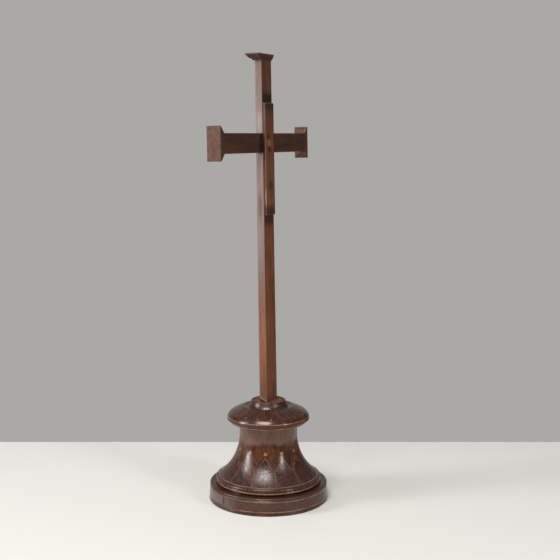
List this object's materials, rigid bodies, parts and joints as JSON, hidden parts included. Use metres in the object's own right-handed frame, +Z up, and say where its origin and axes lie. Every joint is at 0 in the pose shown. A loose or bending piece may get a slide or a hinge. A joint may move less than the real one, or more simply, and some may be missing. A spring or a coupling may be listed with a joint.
{
  "type": "inlaid cross",
  "caption": "Standing plank cross with moulded ends and a batten behind, let into a turned bell foot inlaid with light lines, dots and drops.",
  "frame": {"origin": "on the foot's turned axis, in the face that it rests on", "axes": "+Z up; +X along the arm, towards the end that is nearer in the picture; the flat back with its batten faces +Y, the moulded front -Y"},
  "size_m": [0.3546, 0.2332, 0.859],
  "materials": {
    "turned": "dark red-brown, french polished, glossy",
    "veneer": "dark red-brown veneer, polished",
    "stringing": "light orange-brown stringing, polished over",
    "inlay": "light orange-brown inlay, polished over",
    "plank": "dark red-brown plank, worn satin with dark patina",
    "moulding": "dark red-brown, dry satin",
    "batten": "dark brown, dull, dark at its ends",
    "screw": "dark, dull and rusty"
  },
  "bodies": {
    "root": {"plinth": "turned", "bell": "turned", "collar": "turned", "boss": "turned", "plinth_veneer": "veneer", "plinth_line_lower": "stringing", "plinth_line_upper": "stringing", "bell_line_lower": "stringing", "bell_line_upper": "stringing", "collar_line_lower": "stringing", "collar_line_upper": "stringing", "bell_dot_01": "inlay", "bell_dot_02": "inlay", "bell_dot_03": "inlay", "bell_dot_04": "inlay", "bell_dot_05": "inlay", "bell_dot_06": "inlay", "bell_dot_07": "inlay", "bell_dot_08": "inlay", "bell_dot_09": "inlay", "bell_dot_10": "inlay", "bell_dot_11": "inlay", "bell_dot_12": "inlay", "bell_arch_01": "inlay", "bell_arch_02": "inlay", "bell_arch_03": "inlay", "bell_arch_04": "inlay", "bell_arch_05": "inlay", "bell_arch_06": "inlay", "bell_arch_07": "inlay", "bell_arch_08": "inlay", "bell_arch_09": "inlay", "bell_arch_10": "inlay", "bell_arch_11": "inlay", "bell_arch_12": "inlay", "collar_drop_01": "inlay", "collar_drop_02": "inlay", "collar_drop_03": "inlay", "collar_drop_04": "inlay", "collar_drop_05": "inlay", "collar_drop_06": "inlay", "collar_drop_07": "inlay", "collar_drop_08": "inlay", "collar_drop_09": "inlay", "collar_drop_10": "inlay", "collar_drop_11": "inlay", "collar_drop_12": "inlay", "collar_drop_13": "inlay", "collar_drop_14": "inlay", "collar_drop_15": "inlay", "collar_drop_16": "inlay", "collar_drop_17": "inlay", "collar_drop_18": "inlay", "post": "plank", "arm": "plank", "top_finial": "moulding", "near_finial": "moulding", "far_finial": "moulding", "batten": "batten", "batten_screw": "screw"}
  },
  "joints": []
}
